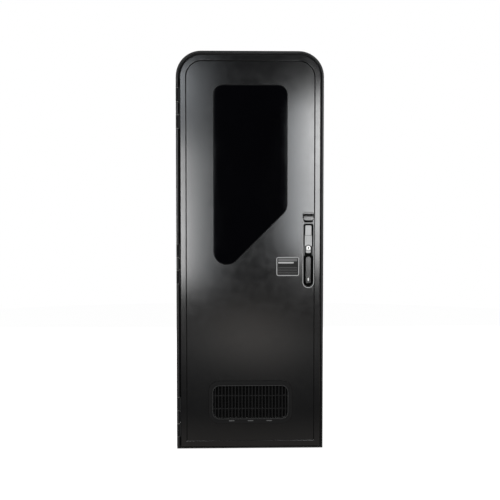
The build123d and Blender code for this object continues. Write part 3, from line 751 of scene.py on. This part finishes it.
class DOOR_OT_paint_metalwork(bpy.types.Operator):
    """Paints the frame, the clamp ring and the leaf, and lays painted shade in the leaf's seam"""

    bl_idname = "door.paint_metalwork"
    bl_label = "Paint Metalwork"

    def execute(self, context):
        dress("matt_black_frame", "frame_hoop", "frame_sill", "clamp_hoop", "clamp_sill")
        dress("satin_black_paint", "leaf_hoop", "leaf_bottom_rail", "outer_skin")
        dress("stucco_black_sheet", "inner_skin")
        self.shade_seam()
        return {"FINISHED"}

    def shade_seam(self):
        """Painted shade: a dull black film on the floor of the seam between the band and the sheet, at the
        sides and the head.
        """
        low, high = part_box("outer_skin")
        sizes = hardware()
        grow = sizes.seam_width
        corner = sizes.sheet_corner
        inner = arched_path(low.x, high.x, low.z, high.z, corner)
        outer = arched_path(low.x - grow, high.x + grow, low.z, high.z + grow, corner + grow)
        work = bmesh.new()
        flat_band(work, outer, inner, high.y - sizes.seam_shade_thickness, high.y, closed=False)
        new_piece("leaf_seam", work, "dull_black", "door")


class DOOR_OT_fill_leaf(bpy.types.Operator):
    """Gives the leaf's core its foam and the frame its seal"""

    bl_idname = "door.fill_leaf"
    bl_label = "Fill Leaf and Seal"

    def execute(self, context):
        core = [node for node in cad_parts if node.startswith("core_")]
        dress("rigid_foam", *core)
        dress("seal_rubber", "frame_seal")
        return {"FINISHED"}


class DOOR_OT_fit_hinges(bpy.types.Operator):
    """Paints the hinges and adds their washers and screws"""

    bl_idname = "door.fit_hinges"
    bl_label = "Fit Hinges"

    def execute(self, context):
        dress("matt_black_coat", "hinge_rail")
        for hinge in HINGES:
            dress("dull_black_coat", "hinge_strap_" + hinge)
            dress("zinc_steel", "hinge_pin_" + hinge)
            self.add_washers(hinge)
            self.add_screws(hinge)
        return {"FINISHED"}

    def add_washers(self, hinge):
        """Thin washers between the three knuckles and at their ends."""
        pin_low, pin_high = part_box("hinge_pin_" + hinge)
        strap_low, strap_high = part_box("hinge_strap_" + hinge)
        rail_low, rail_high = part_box("hinge_rail")
        axis = (pin_low + pin_high) / 2
        thickness = hardware().washer_thickness
        outer = (rail_high.x - rail_low.x) / 2
        inner = (pin_high.x - pin_low.x) / 2
        knuckle = (strap_high.z - strap_low.z) / KNUCKLES
        profile = [(inner, 0), (outer, 0), (outer, thickness), (inner, thickness)]
        seats = [
            strap_low.z - thickness,
            strap_low.z + knuckle,
            strap_high.z - knuckle - thickness,
            strap_high.z,
        ]
        work = bmesh.new()
        for seat in seats:
            loops = turned(work, profile, Matrix.Translation((axis.x, axis.y, seat)))
            join_loops(work, loops[-1], loops[0])
        new_piece("hinge_washers_" + hinge, work, "nylon", "frame")

    def add_screws(self, hinge):
        """Screws through the strap's plate into the leaf's edge."""
        low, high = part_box("hinge_strap_" + hinge)
        leaf_low, leaf_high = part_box("leaf_hoop")
        sizes = hardware()
        face = leaf_low.x - sizes.strap_plate
        depth = (low.y + high.y) / 2 + sizes.strap_shift
        levels = even_steps(low.z + sizes.screw_margin, high.z - sizes.screw_margin, STRAP_SCREWS)
        screws("hinge_screws_" + hinge, [Vector((face, depth, z)) for z in levels], LEFT, "door")


class DOOR_OT_glaze_window(bpy.types.Operator):
    """Glazes the window and screws its inside trim down"""

    bl_idname = "door.glaze_window"
    bl_label = "Glaze Window"

    def execute(self, context):
        dress("tinted_glass", "window_glass")
        dress("seal_rubber", "window_gasket")
        dress("matt_black_plastic", "window_inner_trim")
        trim_low, trim_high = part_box("window_inner_trim")
        glass_low, glass_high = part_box("window_glass")
        sizes = hardware()
        clear = sizes.head_clear
        low = (trim_low + glass_low) / 2
        high = (trim_high + glass_high) / 2
        top = glass_high.z - clear
        places = [(low.x, z) for z in even_steps(glass_low.z + sizes.foot_clear, top, TRIM_LEFT_SCREWS)]
        places += [(high.x, z) for z in even_steps(glass_low.z + sizes.knee_clear, top, TRIM_RIGHT_SCREWS)]
        places += [(x, high.z) for x in (glass_low.x + clear, glass_high.x - clear)]
        screws("window_trim_screws", [Vector((x, trim_high.y, z)) for x, z in places], INSIDE, "door")
        return {"FINISHED"}


class DOOR_OT_fit_vent(bpy.types.Operator):
    """Finishes the vent and its clips, paints a highlight round its opening, weaves its insect screen and
    screws the inside grille down
    """

    bl_idname = "door.fit_vent"
    bl_label = "Fit Vent"

    def execute(self, context):
        dress("matt_black_plastic", "vent_grille", "vent_inner_grille")
        self.face_clips()
        self.add_vent_highlight()
        self.weave_screen()
        self.add_screws()
        return {"FINISHED"}

    def face_clips(self):
        """Light faces on the three clips below the bars."""
        low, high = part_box("vent_grille")
        screen_low, screen_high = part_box("vent_screen")
        sizes = hardware()
        z = screen_low.z - sizes.clip_drop
        height = sizes.clip_height
        outlines = []
        for step in (-1, 0, 1):
            x = (low.x + high.x) / 2 + step * sizes.clip_pitch
            outlines.append(round_cornered_plate(x, z, sizes.clip_width, height, height / 4))
        new_films("vent_clip_faces", outlines, low.y, "clip_plastic", "door")

    def add_vent_highlight(self):
        """Painted highlight on the inner rim of the grille's flange, all round the bars."""
        low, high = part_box("vent_screen")
        skin_low, skin_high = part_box("outer_skin")
        sizes = hardware()
        outlines = []
        for grow in (sizes.highlight_offset + sizes.edge_width, sizes.highlight_offset):
            sides = low.x - grow, high.x + grow, low.z - grow, high.z + grow
            outlines.append(round_cornered_outline(*sides, sizes.vent_corner + grow))
        face = skin_low.y - sizes.vent_flange
        work = bmesh.new()
        flat_band(work, *outlines, face - sizes.film_thickness, face, closed=True)
        new_piece("vent_worn_edge", work, "worn_plastic", "door")

    def weave_screen(self):
        """Plain weave of wires across the vent's opening."""
        low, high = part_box("vent_screen")
        sizes = hardware()
        inset = sizes.wire_diameter
        middle = (low.y + high.y) / 2
        columns = round((high.x - low.x) / sizes.wire_pitch)
        rows = round((high.z - low.z) / sizes.wire_pitch)
        uprights = list(enumerate(even_steps(low.x + inset, high.x - inset, columns)))
        levels = list(enumerate(even_steps(low.z + inset, high.z - inset, rows)))
        work = bmesh.new()
        for column, x in uprights:
            path = [Vector((x, middle + self.bend(column + row), z)) for row, z in levels]
            self.draw_wire(work, path, RIGHT)
        for row, z in levels:
            path = [Vector((x, middle - self.bend(column + row), z)) for column, x in uprights]
            self.draw_wire(work, path, UP)
        screen = new_piece("woven_vent_screen", work, "coated_wire", "door")
        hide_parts("vent_screen")

    def bend(self, count):
        """How far a wire lies before or behind the weave's middle at a crossing."""
        lift = hardware().wire_diameter * WIRE_BEND
        return lift if count % 2 else -lift

    def draw_wire(self, work, path, aside):
        """Four-sided wire along a path."""
        radius = hardware().wire_diameter / 2
        sides = [aside * radius, OUTSIDE * radius, aside * -radius, OUTSIDE * -radius]
        close_row(work, [loop_of(work, [point + side for side in sides]) for point in path])

    def add_screws(self):
        """Screws in the corners of the inside grille and in the middle of its long sides."""
        low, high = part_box("vent_inner_grille")
        screen_low, screen_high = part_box("vent_screen")
        margin = (high.z - low.z) * hardware().grille_margin
        seats = []
        for z in ((low.z + screen_low.z) / 2, (high.z + screen_high.z) / 2):
            row = even_steps(low.x + margin, high.x - margin, GRILLE_SCREWS)
            seats += [Vector((x, high.y, z)) for x in row]
        screws("vent_screws", seats, INSIDE, "door")


class DOOR_OT_fit_lock(bpy.types.Operator):
    """Finishes the lock and adds its inlay, a painted highlight on its rim, painted shade below its cap, in
    its seams and over its keyway, and painted light on its tub's walls
    """

    bl_idname = "door.fit_lock"
    bl_label = "Fit Lock"

    def execute(self, context):
        dress("gloss_black_plastic", "lock_escutcheon", "lock_cap", "pull_handle")
        # Black parts made dull and dark to stand in for the shade in the lock's hollows and gaps
        dress("dull_black", "lock_tub", "handle_pin", "cap_gasket")
        dress("light_grey_plastic", "lock_insert", "key_barrel")
        dress("satin_metal", "key_plug")
        self.add_rim_highlight()
        self.add_inlay()
        self.shade_keyway()
        self.add_cap_shadow()
        self.add_tub_wall_sheen()
        insert_low, insert_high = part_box("lock_insert")
        barrel_low, barrel_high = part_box("key_barrel")
        sizes = hardware()
        self.shade_seam("insert_seam_line", "lock_insert", insert_high.z - sizes.insert_head - sizes.lock_seam)
        self.shade_seam("barrel_seam_line", "key_barrel", barrel_low.z + sizes.barrel_foot)
        return {"FINISHED"}

    def add_cap_shadow(self):
        """Painted shadow: a dark band on the plate, along the foot of the cap and up its round corners, where
        the gap below the cap lies in shade.
        """
        low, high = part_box("cap_gasket")
        skin_low, skin_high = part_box("outer_skin")
        sizes = hardware()
        corner = sizes.cap_shadow_corner
        left = low.x + corner, low.z + corner
        right = high.x - corner, low.z + corner
        paths = []
        for radius in (corner + sizes.cap_shadow_width, corner):
            path = arc_points(left, radius, 270 - SHADOW_SWEEP, 270)
            paths.append(path + arc_points(right, radius, 270, 270 + SHADOW_SWEEP))
        face = skin_low.y - sizes.plate_thickness
        work = bmesh.new()
        flat_band(work, *paths, face - sizes.film_thickness, face, closed=False)
        new_piece("cap_foot_lip", work, "dull_black", "door")

    def add_tub_wall_sheen(self):
        """Painted light: grey cheeks on the tub's walls, on either side of the key barrel, standing in for
        the light on those walls.
        """
        tub_low, tub_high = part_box("lock_tub")
        insert_low, insert_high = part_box("lock_insert")
        barrel_low, barrel_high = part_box("key_barrel")
        sizes = hardware()
        foot = barrel_low.z - sizes.cheek_drop
        front = insert_low.y + sizes.cheek_setback
        sides = [(tub_low.x + sizes.tub_wall, insert_low.x), (insert_high.x, tub_high.x - sizes.tub_wall)]
        work = bmesh.new()
        for left, right in sides:
            outline = [(left, foot), (right, foot), (right, insert_low.z), (left, insert_low.z)]
            flat_strip(work, outline, front, front + sizes.cheek_depth)
        new_piece("barrel_cheeks", work, "clip_plastic", "door")

    def shade_keyway(self):
        """Painted shade: a dark film over the keyway, on the face of the plug."""
        low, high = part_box("key_plug")
        sizes = hardware()
        middle = (low + high) / 2
        width = sizes.keyhole_width
        corner = width / 2 * KEYWAY_SHADE_ROUNDING
        outline = round_cornered_plate(middle.x, middle.z, width, sizes.keyhole_height, corner)
        new_films("keyway_cover", [outline], low.y, "dull_black", "key")

    def shade_seam(self, name, node, foot):
        """Painted shade: a dark film on the floor of a seam that runs across a grey moulding."""
        low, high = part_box(node)
        sizes = hardware()
        top = foot + sizes.lock_seam
        outline = [(low.x, top), (high.x, top), (high.x, foot), (low.x, foot)]
        new_films(name, [outline], low.y + sizes.lock_seam_depth, "dull_black", "door")

    def add_rim_highlight(self):
        """Painted highlight along the escutcheon's rim, up to the cap on either side: a light grey bead
        standing in for the light on the rim's flank.
        """
        low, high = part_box("lock_escutcheon")
        cap_low, cap_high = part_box("lock_cap")
        sizes = hardware()
        left = low.x + sizes.rim_highlight_inset
        right = high.x - sizes.rim_highlight_inset
        half = (right - left) / 2
        foot = low.z + sizes.rim_highlight_inset + half
        head = (cap_low.z + cap_high.z) / 2
        path = [(left, z) for z in even_steps(head, foot, RIM_HIGHLIGHT_POINTS)][:-1]
        path += arc_points((left + half, foot), half, 180, 360)
        path += [(right, z) for z in even_steps(foot, head, RIM_HIGHLIGHT_POINTS)][1:]
        work = bmesh.new()
        round_bead(work, path, low.y, sizes.rim_highlight_width, sizes.rim_highlight_rise)
        new_piece("lock_bead", work, "light_bead", "door")

    def add_inlay(self):
        """Domed oval set in the handle's recess."""
        low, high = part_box("pull_handle")
        sizes = hardware()
        depth = sizes.inlay_depth
        seat = Vector(((low.x + high.x) / 2, low.y + depth, low.z + sizes.inlay_rise))
        place = Matrix.Translation(seat) @ Matrix.Rotation(math.pi / 2, 4, RIGHT)
        place @= Matrix.Diagonal((sizes.inlay_width / 2, sizes.inlay_height / 2, depth, 1))
        work = bmesh.new()
        loops = turned(work, INLAY_DOME, place, INLAY_POINTS)
        work.faces.new(loops[0])
        work.faces.new(loops[-1])
        new_piece("handle_inlay", work, "white_enamel", "handle")


class DOOR_OT_fit_inside_lock(bpy.types.Operator):
    """Finishes the inside lock, the latch and its keeper, and screws them down"""

    bl_idname = "door.fit_inside_lock"
    bl_label = "Fit Inside Lock"

    def execute(self, context):
        dress("matt_black_plastic", "inner_lock_case", "inner_lever")
        dress("zinc_steel", "latch_faceplate", "latch_keeper")
        self.screw_down("lock_case_screws", "inner_lock_case", INSIDE, "door")
        self.screw_down("latch_screws", "latch_faceplate", RIGHT, "door")
        self.screw_down("keeper_screws", "latch_keeper", LEFT, "frame")
        return {"FINISHED"}

    def screw_down(self, name, plate, facing, body):
        """Screws near the foot and the head of a plate, in the face that looks in a direction."""
        low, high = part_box(plate)
        margin = hardware().screw_margin
        face = (low + high) / 2 + (high - low) / 2 * facing
        seats = [Vector((face.x, face.y, z)) for z in (low.z + margin, high.z - margin)]
        screws(name, seats, facing, body)


class DOOR_OT_fit_label(bpy.types.Operator):
    """Finishes the bare label plate and adds its bar, band and rules"""

    bl_idname = "door.fit_label"
    bl_label = "Fit Label Plate"

    def execute(self, context):
        dress("bordered_film", "label_plate")
        self.light_border(context.scene.door_finishes)
        low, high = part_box("label_plate")
        sizes = hardware()
        face = low.y + sizes.border_rise
        bar = self.strip_outline(LABEL_BAR, LABEL_BAR.drop)
        new_films("label_bar", [bar], face, "silver_print", "door")
        rules = [self.strip_outline(LABEL_BAND, LABEL_BAND.drop)]
        for drop in even_steps(LABEL_RULE.drop, high.z - low.z - sizes.rules_rise, LABEL_RULES):
            rules.append(self.strip_outline(LABEL_RULE, drop))
        new_films("label_rules", rules, face, "grey_print", "door")
        return {"FINISHED"}

    def light_border(self, look):
        """Makes the plate's raised border light and its field dark."""
        low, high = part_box("label_plate")
        tree = finish_of("bordered_film").node_tree
        axes = add_node(tree, "SeparateXYZ", {"Vector": surface_place(tree)}).outputs
        depth = add_node(tree, "MapRange", {"Value": axes["Y"], "From Min": low.y, "From Max": high.y})
        stops = ((0.0, shade(look.label_line, 1)), (BORDER_SHARE, shade(look.label_field, 1)))
        colour = add_ramp(tree, depth.outputs["Result"], stops, "CONSTANT")
        tree.links.new(colour, tree.nodes["Principled BSDF"].inputs["Base Color"])

    def strip_outline(self, strip, drop):
        """Outline of a printed strip, so far below the plate's head."""
        low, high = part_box("label_plate")
        top = high.z - drop
        sides = low.x + hardware().label_margin, high.x - strip.right_margin
        return round_cornered_outline(*sides, top - strip.height, top, strip.corner)


class DOOR_OT_build_studio(bpy.types.Operator):
    """Builds the floor, the lamps, the room's light and the camera"""

    bl_idname = "door.build_studio"
    bl_label = "Build Studio"

    def execute(self, context):
        studio = context.scene.door_studio
        context.scene.view_settings.view_transform = "Standard"
        self.lay_floor(context, studio)
        self.light_room(context, studio)
        for softbox in SOFTBOXES:
            self.hang_softbox(context, studio, softbox)
        self.set_camera(context, studio)
        return {"FINISHED"}

    def hang_softbox(self, context, studio, softbox):
        """Soft lamp on one side of the door, facing it squarely."""
        left, right = softbox.width
        foot, head = softbox.height
        lamp = bpy.data.lights.new(softbox.name + "_softbox", "AREA")
        lamp.shape = "RECTANGLE"
        lamp.size = right - left
        lamp.size_y = head - foot
        lamp.energy = softbox.glow * math.pi * lamp.size * lamp.size_y
        lamp.color = studio.cool_tone if softbox.cool else WHITE
        hung = bpy.data.objects.new(softbox.name + "_softbox", lamp)
        middle = Vector(((left + right) / 2, 0, (foot + head) / 2))
        hung.location = middle + softbox.side * studio.lamp_distance
        hung.rotation_euler = (-softbox.side).to_track_quat("-Z", "Y").to_euler()
        context.scene.collection.objects.link(hung)

    def lay_floor(self, context, studio):
        """Pale floor that rises to the white of the background and keeps the door's shadow."""
        work = bmesh.new()
        bmesh.ops.create_circle(work, cap_ends=True, segments=FLOOR_POINTS, radius=studio.floor_radius)
        mesh = bpy.data.meshes.new("floor")
        work.to_mesh(mesh)
        work.free()
        floor = bpy.data.objects.new("floor", mesh)
        floor.location.z = -studio.floor_drop
        context.scene.collection.objects.link(floor)
        mesh.materials.append(pale_floor(studio))

    def light_room(self, context, studio):
        """White room that is dark before the door for polished faces and dim for all others."""
        world = bpy.data.worlds.new("studio_room")
        world.use_nodes = True
        tree = world.node_tree
        rays = add_node(tree, "LightPath", {}).outputs
        direction = add_node(tree, "TexCoord", {}).outputs["Generated"]
        axes = add_node(tree, "SeparateXYZ", {"Vector": direction}).outputs
        turn = add_node(tree, "MapRange", {"Value": axes["Y"], "From Min": -1.0}).outputs["Result"]
        stops = [(place, shade(WHITE, level)) for place, level in WALL_LEVELS]
        fade = {"Value": axes["Z"], "From Min": FADE_FOOT, "From Max": FADE_HEAD, "To Min": FADE_SHARE}
        rise = add_node(tree, "MapRange", fade).outputs["Result"]
        walls = joined(tree, "MULTIPLY", add_ramp(tree, turn, stops), rise)
        gleam = joined(tree, "MULTIPLY", rays["Is Glossy Ray"], walls)
        clear = joined(tree, "MAXIMUM", rays["Is Camera Ray"], rays["Is Transmission Ray"])
        shown = joined(tree, "MAXIMUM", gleam, clear)
        dim = joined(tree, "MULTIPLY", rays["Is Diffuse Ray"], studio.ambient)
        background = tree.nodes["Background"].inputs
        background["Color"].default_value = shade(WHITE, 1)
        tree.links.new(joined(tree, "MAXIMUM", shown, dim), background["Strength"])
        context.scene.world = world

    def set_camera(self, context, studio):
        """Camera at the height and the side that the door is seen from."""
        lens = bpy.data.cameras.new("camera")
        lens.lens = studio.lens
        camera = bpy.data.objects.new("camera", lens)
        eye = Vector(studio.eye)
        camera.location = eye
        camera.rotation_euler = (Vector(studio.aim) - eye).to_track_quat("-Z", "Y").to_euler()
        context.scene.collection.objects.link(camera)
        context.scene.camera = camera


STEPS = (
    DOOR_OT_paint_metalwork,
    DOOR_OT_fill_leaf,
    DOOR_OT_fit_hinges,
    DOOR_OT_glaze_window,
    DOOR_OT_fit_vent,
    DOOR_OT_fit_lock,
    DOOR_OT_fit_inside_lock,
    DOOR_OT_fit_label,
    DOOR_OT_build_studio,
)


class DOOR_PT_entry_door(bpy.types.Panel):
    """Steps that dress the door, and what a user may change"""

    bl_idname = "DOOR_PT_entry_door"
    bl_label = "Entry Door"
    bl_space_type = "VIEW_3D"
    bl_region_type = "UI"
    bl_category = "Entry Door"

    def draw(self, context):
        layout = self.layout
        for step in STEPS:
            layout.operator(step.bl_idname)
        for settings in (context.scene.door_finishes, context.scene.door_hardware, context.scene.door_studio):
            box = layout.box()
            for name in settings.__annotations__:
                box.prop(settings, name)


CLASSES = (DoorFinishSettings, DoorHardwareSettings, DoorStudioSettings) + STEPS + (DOOR_PT_entry_door,)


def register():
    """Adds the settings, the steps and the panel."""
    for kind in CLASSES:
        bpy.utils.register_class(kind)
    bpy.types.Scene.door_finishes = bpy.props.PointerProperty(type=DoorFinishSettings)
    bpy.types.Scene.door_hardware = bpy.props.PointerProperty(type=DoorHardwareSettings)
    bpy.types.Scene.door_studio = bpy.props.PointerProperty(type=DoorStudioSettings)


def unregister():
    """Takes the panel, the steps and the settings away again."""
    del bpy.types.Scene.door_studio
    del bpy.types.Scene.door_hardware
    del bpy.types.Scene.door_finishes
    for kind in reversed(CLASSES):
        bpy.utils.unregister_class(kind)


def main():
    """Dresses the whole door."""
    register()
    bpy.ops.door.paint_metalwork()
    bpy.ops.door.fill_leaf()
    bpy.ops.door.fit_hinges()
    bpy.ops.door.glaze_window()
    bpy.ops.door.fit_vent()
    bpy.ops.door.fit_lock()
    bpy.ops.door.fit_inside_lock()
    bpy.ops.door.fit_label()
    bpy.ops.door.build_studio()


if __name__ == "__main__":
    main()
